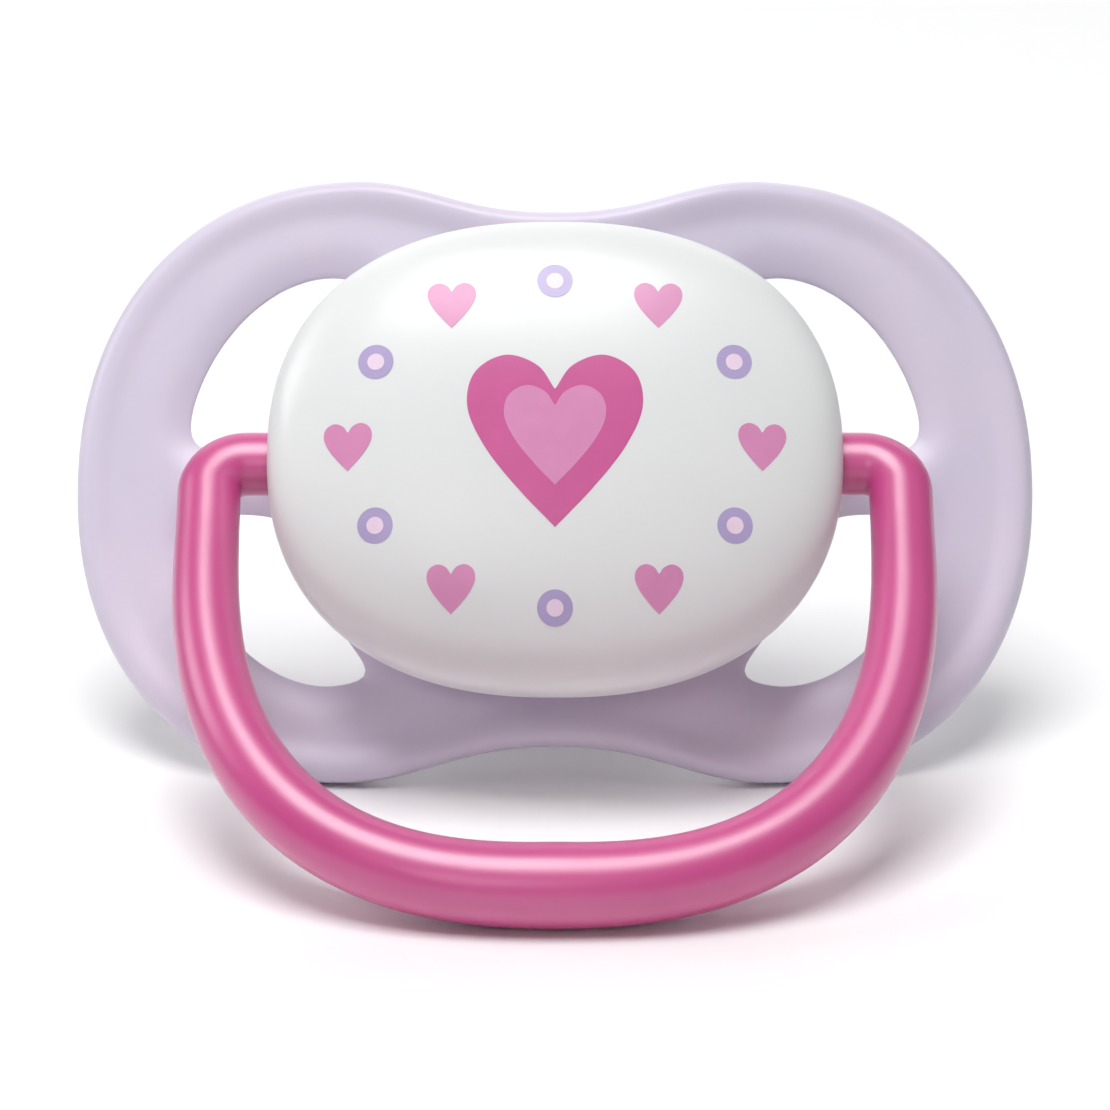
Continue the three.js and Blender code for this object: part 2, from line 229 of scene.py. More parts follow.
def ring_faces(rows, columns):
    """Quads between rows of columns points each, closed round the columns."""
    faces = []
    for r in range(rows - 1):
        a, b = r * columns, (r + 1) * columns
        for c in range(columns):
            d = (c + 1) % columns
            faces.append((a + c, a + d, b + d, b + c))
    return faces


def oval(angle, half_width, half_height, power=OVAL_POWER):
    cos, sin = np.cos(angle), np.sin(angle)
    x = half_width * np.sign(cos) * np.abs(cos) ** (2 / power)
    y = half_height * np.sign(sin) * np.abs(sin) ** (2 / power)
    return np.stack([x, y], -1)


def circle(radius, count=96):
    return oval(np.linspace(0, 2 * math.pi, count, endpoint=False), radius, radius, 2)


def oval_scale(x, y, half_width, half_height, power=OVAL_POWER):
    """1 on the oval, under 1 inside it."""
    return (np.abs(x / half_width) ** power + np.abs(y / half_height) ** power) ** (1 / power)


def smooth(value, low, high):
    t = np.clip((value - low) / (high - low), 0, 1)
    return t * t * (3 - 2 * t)


def even(loop, spacing):
    """A closed outline with its points spaced evenly."""
    closed = np.vstack([loop, loop[:1]])
    steps = np.linalg.norm(np.diff(closed, axis=0), axis=1)
    along = np.concatenate([[0], np.cumsum(steps)])
    count = max(8, round(along[-1] / spacing))
    at = np.arange(count) / count * along[-1]
    return np.stack([np.interp(at, along, closed[:, i]) for i in (0, 1)], 1)


def inset(loop, distance):
    """An anticlockwise outline moved inwards by distance, or outwards where it is negative."""
    along = np.roll(loop, -1, 0) - np.roll(loop, 1, 0)
    along /= np.linalg.norm(along, axis=1)[:, None]
    return loop + distance * np.stack([-along[:, 1], along[:, 0]], 1)


def distance_to(loop, points):
    """Shortest distance from each point to the closed outline."""
    a = loop
    d = np.roll(loop, -1, 0) - a
    length = (d * d).sum(1)
    out = np.empty(len(points))
    for i in range(0, len(points), 2000):
        p = points[i : i + 2000, None, :]
        t = np.clip(((p - a) * d).sum(2) / length, 0, 1)
        gap = p - (a + t[:, :, None] * d)
        out[i : i + 2000] = np.sqrt((gap * gap).sum(2).min(1))
    return out


def inside(loop, points):
    """Which points lie inside the closed outline."""
    x, y = points[:, 0, None], points[:, 1, None]
    x0, y0 = loop[:, 0], loop[:, 1]
    x1, y1 = np.roll(x0, -1), np.roll(y0, -1)
    crosses = (y0 > y) != (y1 > y)
    with np.errstate(divide="ignore", invalid="ignore"):
        at = x0 + (y - y0) * (x1 - x0) / (y1 - y0)
    return (crosses & (x < at)).sum(1) % 2 == 1


def connected_groups(tris, walls):
    """Groups of triangles that reach each other without crossing a wall edge."""
    by_edge = {}
    for i, tri in enumerate(tris):
        for a, b in zip(tri, (tri[1], tri[2], tri[0])):
            edge = (min(a, b), max(a, b))
            if edge not in walls:
                by_edge.setdefault(edge, []).append(i)
    beside = [[] for _ in tris]
    for pair in by_edge.values():
        if len(pair) == 2:
            beside[pair[0]].append(pair[1])
            beside[pair[1]].append(pair[0])
    groups, seen = [], set()
    for start in range(len(tris)):
        if start in seen:
            continue
        seen.add(start)
        group, todo = [], [start]
        while todo:
            i = todo.pop()
            group.append(i)
            fresh = [j for j in beside[i] if j not in seen]
            seen.update(fresh)
            todo += fresh
        groups.append(group)
    return groups


def triangles_between(outer, holes, extra):
    """Points and triangles that fill the outline outside the holes, with the extra points among them.

    The points of the outline and holes come first, and the last value returned counts them."""
    points = np.vstack([outer, *holes, extra])
    edges, start = [], 0
    for loop in (outer, *holes):
        n = len(loop)
        edges += [(start + i, start + (i + 1) % n) for i in range(n)]
        start += n
    made = delaunay_2d_cdt([Vector(p) for p in points], edges, [], 0, 1e-7)
    tris = [tuple(t) for t in made[2]]
    flat = np.array([tuple(p) for p in made[0]])
    corners = flat[np.array(tris)]
    middle = corners.mean(1)
    u, v = corners[:, 1] - corners[:, 0], corners[:, 2] - corners[:, 0]
    area = np.abs(u[:, 0] * v[:, 1] - u[:, 1] * v[:, 0])
    kept = []
    for group in connected_groups(tris, {(min(e), max(e)) for e in edges}):
        largest = group[np.argmax(area[group])]
        where = middle[[largest]]
        in_hole = any(inside(hole, where)[0] for hole in holes)
        if area[largest] > 1e-6 and inside(outer, where)[0] and not in_hole:
            kept += group
    return flat, np.array(tris)[kept], start


def plate_faces(tris, rim_count, count):
    """Faces of a closed plate whose front and back share the rim's points.

    Front points come first, then the back points of all but the rim."""
    back = np.where(tris < rim_count, tris, tris + count - rim_count)
    return [tuple(t) for t in tris] + [tuple(t[::-1]) for t in back]


# ---------- materials ----------


def nodes_of(name):
    material = bpy.data.materials.new(name)
    material.use_nodes = True
    tree = material.node_tree
    return material, tree, tree.nodes["Principled BSDF"]


def noise(tree, size_mm, detail=3.0):
    """Noise whose features are about size_mm across."""
    place = tree.nodes.new("ShaderNodeTexCoord")
    texture = tree.nodes.new("ShaderNodeTexNoise")
    texture.inputs["Scale"].default_value = 1 / (size_mm * MM)
    texture.inputs["Detail"].default_value = detail
    tree.links.new(place.outputs["Object"], texture.inputs["Vector"])
    return texture.outputs["Fac"]


def between(tree, value, low, high):
    """The noise's middle range spread over low to high."""
    spread = tree.nodes.new("ShaderNodeMapRange")
    spread.inputs["From Min"].default_value = 0.3
    spread.inputs["From Max"].default_value = 0.7
    spread.inputs["To Min"].default_value = low
    spread.inputs["To Max"].default_value = high
    tree.links.new(value, spread.inputs["Value"])
    return spread.outputs["Result"]


def two_tones(tree, value, first, second):
    mix = tree.nodes.new("ShaderNodeMix")
    mix.data_type = "RGBA"
    mix.inputs["A"].default_value = (*first, 1)
    mix.inputs["B"].default_value = (*second, 1)
    tree.links.new(value, mix.inputs["Factor"])
    return mix.outputs["Result"]


GRAIN_DEPTH = 0.05


def moulded(name, tones, roughness, cloud_mm=9.0, grain_mm=0.25, grain=0.04, **sockets):
    """Two close tones in soft clouds, a roughness that wanders a little, and a fine surface grain."""
    material, tree, shader = nodes_of(name)
    cloud = noise(tree, cloud_mm)
    tree.links.new(two_tones(tree, between(tree, cloud, 0, 1), *tones), shader.inputs["Base Color"])
    wander = between(tree, noise(tree, cloud_mm / 3), *roughness)
    tree.links.new(wander, shader.inputs["Roughness"])
    bump = tree.nodes.new("ShaderNodeBump")
    bump.inputs["Strength"].default_value = grain
    bump.inputs["Distance"].default_value = GRAIN_DEPTH * MM
    tree.links.new(noise(tree, grain_mm), bump.inputs["Height"])
    tree.links.new(bump.outputs["Normal"], shader.inputs["Normal"])
    for socket, value in sockets.items():
        shader.inputs[socket.replace("_", " ")].default_value = value
    return material


def shield_plastic():
    tones = ((0.64, 0.59, 0.72), (0.68, 0.61, 0.73))
    return moulded("lavender_plastic", tones, (0.36, 0.44), grain=0.08, Subsurface_Weight=0.12,
                   Subsurface_Radius=(0.9, 0.8, 1.0), Subsurface_Scale=0.0012)


def cap_plastic():
    tones = ((0.75, 0.76, 0.76), (0.78, 0.79, 0.79))
    return moulded("white_plastic", tones, (0.28, 0.34), cloud_mm=14, grain_mm=0.6, grain=0.02)


def handle_plastic():
    tones = ((0.56, 0.05, 0.235), (0.61, 0.065, 0.26))
    return moulded("pink_plastic", tones, (0.3, 0.36), grain_mm=0.3, grain=0.015, Subsurface_Weight=0.1,
                   Subsurface_Radius=(1.0, 0.25, 0.5), Subsurface_Scale=0.001, Coat_Weight=0.9,
                   Coat_Roughness=0.38, Coat_IOR=1.7)


def silicone():
    tones = ((0.95, 0.94, 0.92), (0.98, 0.97, 0.96))
    return moulded("clear_silicone", tones, (0.07, 0.13), cloud_mm=6, grain_mm=0.8, grain=0.03,
                   Transmission_Weight=0.92, IOR=1.41)


def plug_plastic():
    tones = ((0.8, 0.8, 0.82), (0.86, 0.86, 0.87))
    return moulded("plug_plastic", tones, (0.35, 0.45), cloud_mm=5)


def ink(name, colour):
    deeper = tuple(c * 0.94 for c in colour)
    return moulded(name, (deeper, colour), (0.28, 0.34), cloud_mm=1.6, grain_mm=0.15, grain=0.05)


def table_top():
    tones = ((0.93, 0.93, 0.935), (0.95, 0.95, 0.95))
    return moulded("pale_table", tones, (0.34, 0.4), cloud_mm=120, grain_mm=2, grain=0.02)


def dress(obj, material, body, slot, *replaced):
    """Gives a finished piece its material and its place on a body, and hides the CAD parts it replaces."""
    obj.data.materials.append(material)
    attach(obj, body)
    if replaced:
        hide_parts(*replaced)
    return obj


# ---------- shield ----------


def rim_outline():
    angle = np.linspace(0, math.pi / 2, 300)
    side_x = LOBE_X + (SHIELD_HALF_WIDTH - LOBE_X) * np.cos(angle) ** (2 / SIDE_POWER)
    side_y = LOBE_Y * np.sin(angle) ** (2 / SIDE_POWER)
    dip_x = np.linspace(LOBE_X, 0, 200)[1:]
    rise = (1 - np.cos(math.pi * (dip_x / LOBE_X) ** DIP_POWER)) / 2
    quarter = np.stack([
        np.concatenate([side_x, dip_x]),
        np.concatenate([side_y, DIP_Y + (LOBE_Y - DIP_Y) * rise]),
    ], 1)
    back = quarter[::-1]
    whole = [quarter[:-1], (back * (-1, 1))[:-1], (quarter * (-1, -1))[:-1], (back * (1, -1))[:-1]]
    return even(np.vstack(whole), 0.5)


def vent_edge(x, y):
    """Below zero inside the upper right vent: the blend of the distances past its three sides."""
    outer = oval_scale(np.maximum(x - VENT_X, 0), y, VENT_HALF_WIDTH, VENT_HALF_HEIGHT, VENT_POWER)
    inner = oval_scale(x, y, VENT_INNER_HALF_WIDTH, VENT_INNER_HALF_HEIGHT)
    past = np.stack([
        (outer - 1) * VENT_HALF_HEIGHT,
        (1 - inner) * VENT_INNER_HALF_HEIGHT,
        ARM_HALF_HEIGHT - y,
    ])
    return VENT_CORNER * np.log(np.exp(past / VENT_CORNER).sum(0))


def vent_outline(sx, sy):
    angle = np.linspace(0, 2 * math.pi, 720, endpoint=False)
    near, far = np.zeros(720), np.full(720, VENT_HALF_HEIGHT)
    for _ in range(30):
        reach = (near + far) / 2
        x = VENT_MIDDLE[0] + reach * np.cos(angle)
        y = VENT_MIDDLE[1] + reach * np.sin(angle)
        within = vent_edge(x, y) < 0
        near, far = np.where(within, reach, near), np.where(within, far, reach)
    x = VENT_MIDDLE[0] + near * np.cos(angle)
    y = VENT_MIDDLE[1] + near * np.sin(angle)
    loop = np.stack([sx * x, sy * y], 1)
    return even(loop if sx * sy > 0 else loop[::-1], 0.42)


def rounded(distance, radius):
    """0 at the edge, rising as a quarter circle to 1 at radius."""
    t = np.clip(distance / radius, 0, 1)
    return np.sqrt(1 - (1 - t) ** 2)


def rim_section(d):
    """Front height over the plate's middle, going in from the rim: a rolled bead, then the flat."""
    bead = RIM_BEAD * (1 - smooth(d, RIM_ROUND, RIM_WIDTH))
    return (FLAT_HALF + bead) * rounded(d, RIM_ROUND)


def vent_section(d):
    """The same, going out from a vent: a broad rounded shoulder up to the flat."""
    edge = FLAT_HALF - VENT_SHOULDER
    slope = 1 - np.clip(1 - d / VENT_SLOPE, 0, 1) ** 1.7
    return edge * rounded(d, VENT_ROUND) + VENT_SHOULDER * slope


def rows_along(loop, distances, sign, others):
    """Rows of points beside an outline, where they keep clear of it and of the other outlines."""
    rows = []
    for d in distances:
        row = inset(loop, sign * d)
        clear = distance_to(loop, row) > d * 0.93
        for other in others:
            clear &= distance_to(other, row) > d + 0.12
        rows.append(row[clear])
    return rows


def grid_between(rim, vents, bore, taken):
    """An even grid over the rest of the shield, clear of its edges and of the points already taken."""
    x, y = np.meshgrid(np.arange(-28, 28.1, 0.9), np.arange(-18, 18.1, 0.9))
    x = x + 0.45 * (np.arange(x.shape[0]) % 2)[:, None]
    grid = np.stack([x.ravel(), y.ravel()], 1)
    near = np.array([np.min(((taken - g) ** 2).sum(1)) for g in grid])
    clear = (near > 0.5**2) & inside(rim, grid) & ~inside(bore, grid)
    for vent in vents:
        clear &= ~inside(vent, grid)
    clear &= distance_to(rim, grid) > 0.6
    return grid[clear]


def inner_points(rim, vents, bore):
    """Points between the shield's outlines: close rows where the surface curves, and a grid elsewhere."""
    rim_rows = (0.02, 0.07, 0.15, 0.26, 0.4, 0.56, 0.74, 0.95, 1.2, 1.48, 1.8, 2.12, 2.46, 2.85, 3.4)
    vent_rows = (0.02, 0.07, 0.15, 0.26, 0.42, 0.62, 0.86, 1.14, 1.46, 1.8, 2.14, 2.6, 3.1)
    bore_rows = (0.04, 0.13, 0.3, 0.6)
    points = rows_along(rim, rim_rows, 1, vents)
    for i, vent in enumerate(vents):
        points += rows_along(vent, vent_rows, -1, [rim, *vents[:i], *vents[i + 1 :]])
    points += rows_along(bore, bore_rows, -1, vents)
    whole_turn = np.linspace(0, 2 * math.pi, 400, endpoint=False)
    hub = even(oval(whole_turn, HUB_HALF_WIDTH, HUB_HALF_HEIGHT), 0.5)
    for d in (-0.5, -0.3, -0.15, 0, 0.15, 0.3, 0.5):
        row = inset(hub, d)
        clear = np.min([distance_to(v, row) for v in vents], 0) > 0.5
        points.append(row[clear])
    for radius in (RECESS_RADIUS - 0.1, RECESS_RADIUS + 0.1):
        points.append(circle(radius))
    taken = np.vstack(points)
    return np.vstack([taken, grid_between(rim, vents, bore, taken)])


def plate_heights(flat, rim, vents, bore):
    """Height of the shield's front and back at each point."""
    x, y = flat[:, 0], flat[:, 1]
    d_rim = distance_to(rim, flat)
    d_vent = np.min([distance_to(v, flat) for v in vents], 0)
    d_bore = distance_to(bore, flat)
    saddle = np.maximum(y - SADDLE_FROM, 0) ** 2 * (1 - smooth(np.abs(x), 6, 15))
    bend = -x * x / (2 * BEND_RADIUS) + SADDLE_RISE * saddle / (LOBE_Y - SADDLE_FROM) ** 2
    front = PLATE_MIDDLE + bend + rim_section(d_rim) + vent_section(d_vent) - FLAT_HALF
    back_edges = rounded(d_rim, BACK_RIM_ROUND) + rounded(d_vent, BACK_VENT_ROUND) - 1
    back = PLATE_MIDDLE + bend - PLATE_HALF * back_edges
    inward = (1 - oval_scale(x, y, HUB_HALF_WIDTH, HUB_HALF_HEIGHT)) * HUB_HALF_HEIGHT
    step = smooth(inward, -HUB_STEP, HUB_STEP) * rounded(d_vent, 0.5)
    front += (HUB_FRONT - front) * step
    back += (HUB_BACK - back) * step
    radius = np.hypot(x, y)
    front += (RECESS_FLOOR - front) * smooth(RECESS_RADIUS - radius, -0.1, 0.1)
    lip = rounded(d_bore, BORE_ROUND)
    middle = (RECESS_FLOOR + HUB_BACK) / 2
    by_bore = radius < BORE_RADIUS + 0.5
    front = np.where(by_bore, middle + (RECESS_FLOOR - middle) * lip, front)
    back = np.where(by_bore, middle + (HUB_BACK - middle) * lip, back)
    return front, back


def make_shield():
    rim = rim_outline()
    vents = [vent_outline(sx, sy) for sx in (1, -1) for sy in (1, -1)]
    bore = circle(BORE_RADIUS)
    flat, tris, rim_count = triangles_between(rim, [*vents, bore], inner_points(rim, vents, bore))
    front, back = plate_heights(flat, rim, vents, bore)
    points = np.vstack([np.column_stack([flat, front]), np.column_stack([flat, back])[rim_count:]])
    shield = mesh_piece("shield_shell", on_face(points), plate_faces(tris, rim_count, len(flat)), 50)
    return dress(shield, shield_plastic(), BODY, "shield_plastic", "shield")


# ---------- cap ----------


def cap_height(x, y):
    """Height of the cap's outside over the face frame, where the cap faces forward."""
    scale = np.minimum(oval_scale(x, y, CAP_HALF_WIDTH, CAP_HALF_HEIGHT), 1)
    return CAP_WIDEST + (CAP_CROWN - CAP_WIDEST) * (1 - scale**DOME_POWER) ** (1 / DOME_POWER)


def cap_rows(half_width, half_height, rim, crown, sides, domes):
    """Half width, half height and z of each ring of the cap, from its rim to near its crown."""
    rows = []
    for left in np.linspace(1, 0, sides, endpoint=False):
        scale = 1 - (1 - CAP_RIM_SCALE) * left * left
        rows.append((half_width * scale, half_height * scale, CAP_WIDEST - (CAP_WIDEST - rim) * left))
    for angle in np.linspace(0, math.pi / 2, domes, endpoint=False):
        scale = math.cos(angle) ** (2 / DOME_POWER)
        z = CAP_WIDEST + (crown - CAP_WIDEST) * math.sin(angle) ** (2 / DOME_POWER)
        rows.append((half_width * scale, half_height * scale, z))
    return rows


def cap_shell():
    columns = 240
    angle = np.linspace(0, 2 * math.pi, columns, endpoint=False)
    wide, high = CAP_HALF_WIDTH, CAP_HALF_HEIGHT
    outer = cap_rows(wide, high, CAP_RIM, CAP_CROWN, 14, 60)
    inner = cap_rows(wide - CAP_WALL, high - CAP_WALL, CAP_RIM, CAP_CROWN - CAP_WALL, 8, 24)
    edge = []
    for turn in np.linspace(0, math.pi / 2, 5):
        back_off = CAP_LIP * (1 - math.sin(turn))
        lift = CAP_LIP * (1 - math.cos(turn))
        edge.append((outer[0][0] - back_off, outer[0][1] - back_off, CAP_RIM + lift))
    rows = inner[::-1] + edge + [row for row in outer if row[2] > CAP_RIM + CAP_LIP + 0.01]
    points = [np.column_stack([oval(angle, w, h), np.full(columns, z)]) for w, h, z in rows]
    points = np.vstack(points)
    inner_pole, outer_pole = len(points), len(points) + 1
    points = np.vstack([points, (0, 0, CAP_CROWN - CAP_WALL), (0, 0, CAP_CROWN)])
    faces = ring_faces(len(rows), columns)
    last = (len(rows) - 1) * columns
    for c in range(columns):
        d = (c + 1) % columns
        faces.append((d, c, inner_pole))
        faces.append((last + c, last + d, outer_pole))
    return mesh_piece("cap_shell", on_face(points), faces)


def notch_cutter(side):
    """A rod with a round front that cuts the slot for one bar of the handle."""
    outline = [(NOTCH_RADIUS * math.cos(a), PIVOT_Z + NOTCH_RADIUS * math.sin(a))
               for a in np.linspace(0, math.pi, 33)]
    outline += [(-NOTCH_RADIUS, 0.0), (NOTCH_RADIUS, 0.0)]
    ends = (side * (CAP_HALF_WIDTH - NOTCH_DEPTH), side * (CAP_HALF_WIDTH + NOTCH_PAST))
    points = [(x, y, z) for x in ends for y, z in outline]
    n = len(outline)
    faces = ring_faces(2, n) + [tuple(range(n)), tuple(range(2 * n - 1, n - 1, -1))]
    return mesh_piece("notch_cutter", on_face(points), faces)


WELD = 0.002


def cut(obj, cutter):
    """Cuts the cutter out of obj, then removes it and welds the points that almost touch."""
    modifier = obj.modifiers.new("cut", "BOOLEAN")
    modifier.operation = "DIFFERENCE"
    modifier.solver = "EXACT"
    modifier.object = cutter
    bpy.context.view_layer.update()
    made = bpy.data.meshes.new_from_object(obj.evaluated_get(bpy.context.evaluated_depsgraph_get()))
    obj.modifiers.clear()
    obj.data = made
    bpy.data.objects.remove(cutter)
    bm = bmesh.new()
    bm.from_mesh(made)
    bmesh.ops.remove_doubles(bm, verts=bm.verts, dist=WELD * MM)
    bmesh.ops.dissolve_degenerate(bm, edges=bm.edges, dist=WELD * MM)
    bm.to_mesh(made)
    bm.free()


def make_cap():
    cap = cap_shell()
    for side in (-1, 1):
        cut(cap, notch_cutter(side))
    tidy_shading(cap.data, 40)
    return dress(cap, cap_plastic(), BODY, "cap_plastic", "front_cap")


# ---------- print on the cap ----------


def smooth_line(through):
    """A smooth line through the points."""
    p = np.array(through, float)
    p = np.vstack([2 * p[0] - p[1], p, 2 * p[-1] - p[-2]])
    t = np.linspace(0, 1, 24, endpoint=False)[:, None]
    pieces = []
    for a, b, c, d in zip(p, p[1:], p[2:], p[3:]):
        cubic = 2 * b + (c - a) * t + (2 * a - 5 * b + 4 * c - d) * t**2 + (3 * b - a - 3 * c + d) * t**3
        pieces.append(cubic / 2)
    return np.vstack([*pieces, p[-2:-1]])


def heart(width):
    """Two round shoulders over a point."""
    right = smooth_line([
        (0, -0.56), (0.21, -0.34), (0.39, -0.11), (0.49, 0.12),
        (0.45, 0.32), (0.28, 0.42), (0.1, 0.36), (0, 0.22),
    ])
    left = (right * (-1, 1))[::-1]
    return np.vstack([right, left[1:-1]]) * width


def print_patch(name, outline, layer, material):
    """A thin closed film of ink that follows the cap's dome. Higher layers lie on lower ones."""
    outline = even(outline, 0.12)
    low, high = outline.min(0), outline.max(0)
    x, y = np.meshgrid(np.arange(low[0], high[0], 0.45), np.arange(low[1], high[1], 0.45))
    grid = np.stack([x.ravel(), y.ravel()], 1)
    grid = grid[inside(outline, grid)]
    grid = grid[distance_to(outline, grid) > 0.15]
    flat, tris, _ = triangles_between(outline, [], grid)
    height = cap_height(flat[:, 0], flat[:, 1])
    n, edge = len(flat), len(outline)
    top = np.column_stack([flat, height + INK_HEIGHT + INK_LAYER * layer])
    bottom = np.column_stack([flat, height - INK_DEPTH])
    faces = [tuple(t) for t in tris] + [tuple(t[::-1] + n) for t in tris]
    faces += [(i, i + n, (i + 1) % edge + n, (i + 1) % edge) for i in range(edge)]
    patch = mesh_piece(name, on_face(np.vstack([top, bottom])), faces)
    return dress(patch, material, BODY, "cap_plastic")


def make_print():
    """A plain heart inside an even ring of small hearts and dots."""
    pink = ink("ink_pink", (0.62, 0.11, 0.32))
    pale = ink("ink_pale_pink", (0.7, 0.27, 0.49))
    lavender = ink("ink_lavender", (0.45, 0.37, 0.62))
    blush = ink("ink_blush", (0.86, 0.68, 0.82))

    middle = np.array([0, PRINT_HEART * 0.07])
    print_patch("print_heart_middle", heart(PRINT_HEART) + middle, 1, pink)
    print_patch("print_heart_light", heart(PRINT_HEART * PRINT_LIGHT_HEART) + middle, 2, pale)
    for number in range(PRINT_COUNT):
        place = oval(2 * math.pi * number / PRINT_COUNT, *PRINT_RING, 2)
        if number % 2:
            print_patch(f"print_dot_{number}", circle(PRINT_DOT, 160) + place, 1, lavender)
            light = circle(PRINT_DOT * PRINT_LIGHT_DOT, 160)
            print_patch(f"print_dot_light_{number}", light + place, 2, blush)
        else:
            print_patch(f"print_heart_{number}", heart(PRINT_SMALL_HEART) + place, 1, pale)


# ---------- handle ----------


def handle_line():
    """Middle line of the ring from one bar end to the other, with the bar's radius at each point."""
    corner_x = HANDLE_HALF_WIDTH - HANDLE_CORNER
    xs, ys, swell = [], [], []

    def add(x, y, collar=0.0):
        xs.append(x)
        ys.append(y)
        swell.append(collar)

    collar = COLLAR_RADIUS - BAR_RADIUS
    add(BAR_END, 0)
    add(COLLAR_IN - 0.01, 0)
    add(COLLAR_IN, 0, collar - COLLAR_BEVEL)
    add(COLLAR_IN + COLLAR_BEVEL, 0, collar)
    add(COLLAR_OUT - COLLAR_BEVEL, 0, collar)
    add(COLLAR_OUT, 0, collar - COLLAR_BEVEL)
    add(COLLAR_OUT + 0.01, 0)
    for x in np.linspace(COLLAR_OUT + 0.5, corner_x, 10, endpoint=False):
        add(x, 0)
    for angle in np.linspace(0, math.pi / 2, 17):
        add(corner_x + HANDLE_CORNER * math.sin(angle), HANDLE_CORNER * (math.cos(angle) - 1))
    for y in np.linspace(-HANDLE_CORNER, -HANDLE_SIDE, 8, endpoint=False)[1:]:
        add(HANDLE_HALF_WIDTH, y)
    for angle in np.linspace(0, math.pi / 2, 70):
        x = HANDLE_HALF_WIDTH * max(math.cos(angle), 0) ** (2 / HANDLE_POWER)
        add(x, -HANDLE_SIDE - (HANDLE_LENGTH - HANDLE_SIDE) * math.sin(angle) ** (2 / HANDLE_POWER))
    half = np.stack([xs, ys], 1)
    line = np.vstack([half, (half[:-1] * (-1, 1))[::-1]])
    swell = np.concatenate([swell, swell[:-1][::-1]])
    along = np.concatenate([[0], np.cumsum(np.linalg.norm(np.diff(line, axis=0), axis=1))])
    share = np.minimum(along, along[-1] - along) / (along[-1] / 2)
    growth = np.maximum(share - THICKENS_FROM, 0) / (1 - THICKENS_FROM)
    return line, BAR_RADIUS + (BOTTOM_RADIUS - BAR_RADIUS) * growth + swell


def make_handle():
    line, radius = handle_line()
    along = np.gradient(line, axis=0)
    straight = np.abs(line[:, 1]) < 1e-9
    along[straight] = (1, 0)
    along /= np.linalg.norm(along, axis=1)[:, None]
    across = np.stack([along[:, 1], -along[:, 0]], 1)
    sides = 44
    angle = np.linspace(0, 2 * math.pi, sides, endpoint=False)
    rows = []
    for point, out, r in zip(line, across, radius):
        flat = point + np.outer(r * np.cos(angle), out)
        rows.append(np.column_stack([flat, r * np.sin(angle)]))
    n = len(rows)
    faces = ring_faces(n, sides)
    faces += [tuple(range(sides)), tuple(range(n * sides - 1, (n - 1) * sides - 1, -1))]
    handle = mesh_piece("handle_ring", on_handle(np.vstack(rows)), faces)
    return dress(handle, handle_plastic(), HANDLE_BODY, "handle_plastic", "ring_handle")


# ---------- nipple and plug ----------


def nipple_half(depth, sizes):
    """Half width or half thickness of the nipple's outside, at a depth behind the hub."""
    neck, bulb = sizes
    root = (ROOT_RADIUS - neck) * np.maximum(1 - depth / NECK_AT, 0) ** 2
    nose = np.maximum(depth - BULB_AT, 0) / (NIPPLE_LENGTH - BULB_AT)
    body = root + neck + (bulb - neck) * smooth(depth, NECK_AT, BULB_AT)
    return body * np.sqrt(np.maximum(1 - nose**2, 0))


def make_nipple():
    columns = 96
    angle = np.linspace(0, 2 * math.pi, columns, endpoint=False)
    nose = BULB_AT + (NIPPLE_LENGTH - BULB_AT) * np.sin(np.linspace(0, math.pi / 2, 22, endpoint=False))
    depths = np.concatenate([np.linspace(0, BULB_AT, 40, endpoint=False), nose])
    rows = []
    for depth in depths[::-1]:
        rows.append((nipple_half(depth, NIPPLE_WIDE), nipple_half(depth, NIPPLE_FLAT), HUB_BACK - depth))
    flange = (
        (ROOT_RADIUS, FLANGE_BACK),
        (FLANGE_RADIUS - FLANGE_BEVEL, FLANGE_BACK),
        (FLANGE_RADIUS, FLANGE_BACK + FLANGE_BEVEL),
        (FLANGE_RADIUS, FLANGE_FRONT - FLANGE_BEVEL),
        (FLANGE_RADIUS - FLANGE_BEVEL, FLANGE_FRONT),
        (ROOT_RADIUS - NIPPLE_WALL, FLANGE_FRONT),
    )
    rows += [(radius, radius, z) for radius, z in flange]
    shrink = (NIPPLE_LENGTH - NIPPLE_WALL) / NIPPLE_LENGTH
    for depth in depths:
        wide = max(nipple_half(depth, NIPPLE_WIDE) - NIPPLE_WALL, 0.05)
        flat = max(nipple_half(depth, NIPPLE_FLAT) - NIPPLE_WALL, 0.05)
        rows.append((wide, flat, HUB_BACK - depth * shrink))
    points = np.vstack([np.column_stack([oval(angle, w, h, 2), np.full(columns, z)]) for w, h, z in rows])
    tip, inner_tip = len(points), len(points) + 1
    points = np.vstack([
        points,
        (0, 0, HUB_BACK - NIPPLE_LENGTH),
        (0, 0, HUB_BACK - NIPPLE_LENGTH * shrink),
    ])
    faces = ring_faces(len(rows), columns)
    last = (len(rows) - 1) * columns
    for c in range(columns):
        d = (c + 1) % columns
        faces.append((d, c, tip))
        faces.append((last + c, last + d, inner_tip))
    nipple = mesh_piece("nipple_teat", on_face(points), faces)
    return dress(nipple, silicone(), BODY, "nipple_silicone", "nipple")


def dress_plug():
    """The plug's CAD shape is right, so it only needs its material."""
    plug = frame["nodes"]["nipple_plug"]
    plug.data.materials.clear()
    plug.data.materials.append(plug_plastic())


# ---------- table, light and camera ----------


def make_table():
    """A square of table, just under the pieces that stand on it."""
    half = 3.0
    corners = [(-half, -half, 0), (half, -half, 0), (half, half, 0), (-half, half, 0)]
    mesh = bpy.data.meshes.new("table_top")
    mesh.from_pydata(corners, [], [(0, 1, 2, 3)])
    table = bpy.data.objects.new("table_top", mesh)
    bpy.context.scene.collection.objects.link(table)
    table.data.materials.append(table_top())
    table.location.z = -0.02 * MM


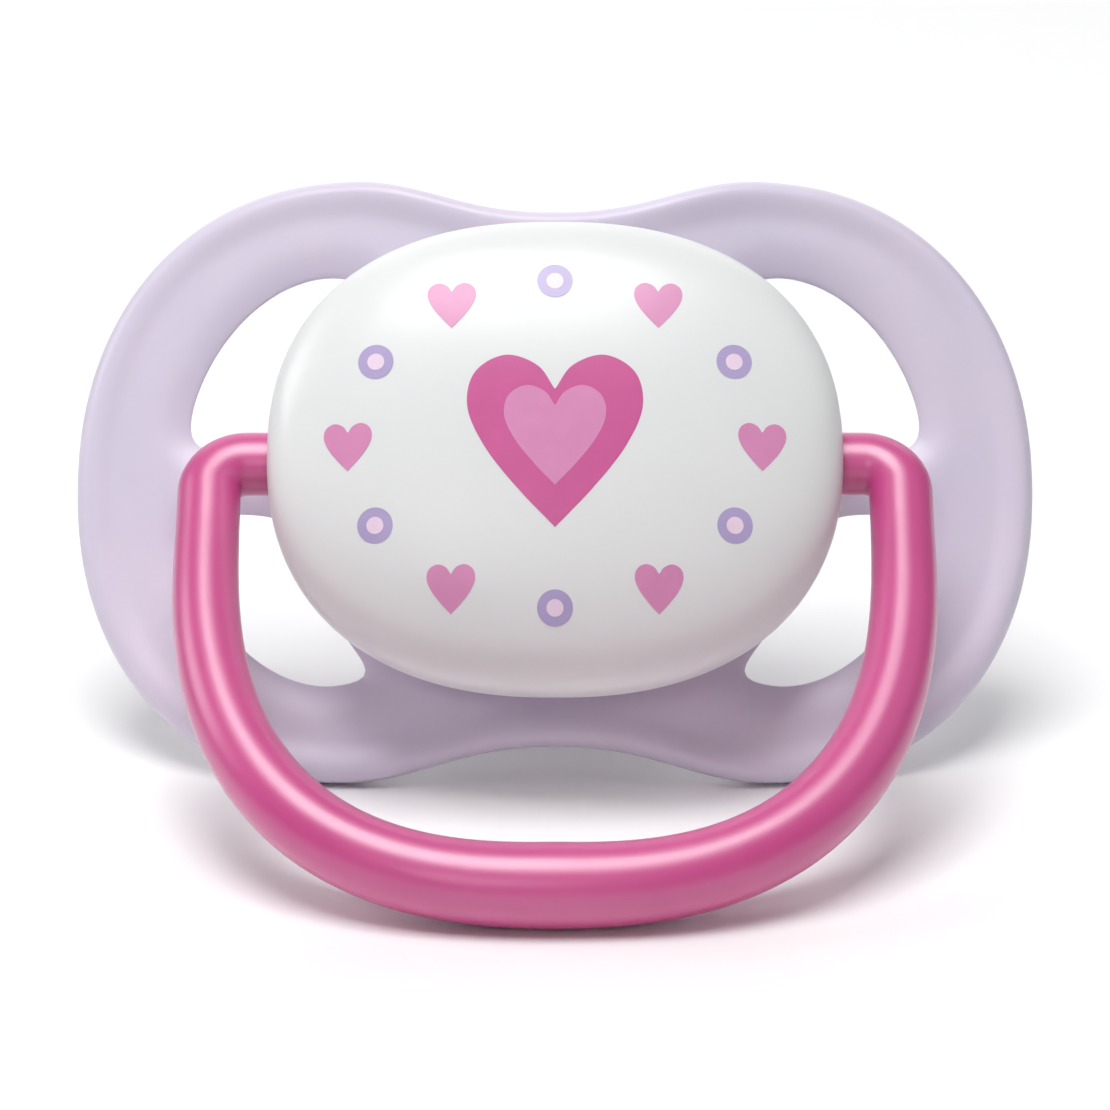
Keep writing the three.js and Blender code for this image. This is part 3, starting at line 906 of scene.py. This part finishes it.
def softbox(name, around, height, distance, size, power):
    """A square lamp aimed at the shield.

    around and height are degrees to the right of the front and above the table, distance and size are in
    metres, and power is in watts."""
    a, e = math.radians(around), math.radians(height)
    towards = Vector((math.sin(a) * math.cos(e), -math.cos(a) * math.cos(e), math.sin(e)))
    lamp = bpy.data.lights.new(name, "AREA")
    lamp.size = size
    lamp.energy = power
    obj = bpy.data.objects.new(name, lamp)
    obj.location = CENTRE + towards * distance
    obj.rotation_mode = "QUATERNION"
    obj.rotation_quaternion = towards.to_track_quat("Z", "Y")
    bpy.context.scene.collection.objects.link(obj)


def light_scene():
    softbox("key", -24, 77, 0.6, 0.36, 3.3)
    softbox("back_wall", 180, 18, 0.8, 0.9, 2.5)
    softbox("left_side", -100, 26, 0.7, 0.3, 1.0)
    softbox("front", -12, 26, 0.7, 0.2, 0.42)
    softbox("right_side", 85, 40, 0.7, 0.45, 0.25)
    world = bpy.data.worlds.new("studio")
    world.use_nodes = True
    background = world.node_tree.nodes["Background"]
    background.inputs["Color"].default_value = (0.97, 0.98, 1, 1)
    background.inputs["Strength"].default_value = 0.17
    bpy.context.scene.world = world
    bpy.context.scene.view_settings.view_transform = "Standard"


CAMERA_HEIGHT = 20  # degrees that it looks down
CAMERA_DISTANCE = 350
CAMERA_DROP = 4.65  # how far below the shield's centre it aims


def make_camera():
    """Looks down at the pacifier from in front, through a long lens."""
    height = math.radians(CAMERA_HEIGHT)
    forward = Vector((0, math.cos(height), -math.sin(height)))
    above = Vector((0, math.sin(height), math.cos(height)))
    camera = bpy.data.objects.new("camera", bpy.data.cameras.new("camera"))
    camera.data.lens = 187
    camera.data.sensor_width = 36
    camera.data.clip_start = 0.01
    camera.location = CENTRE - above * (CAMERA_DROP * MM) - forward * (CAMERA_DISTANCE * MM)
    camera.rotation_mode = "QUATERNION"
    camera.rotation_quaternion = forward.to_track_quat("-Z", "Y")
    bpy.context.scene.collection.objects.link(camera)
    bpy.context.scene.camera = camera


make_camera()
make_shield()
make_cap()
make_print()
make_handle()
make_nipple()
dress_plug()
make_table()
light_scene()
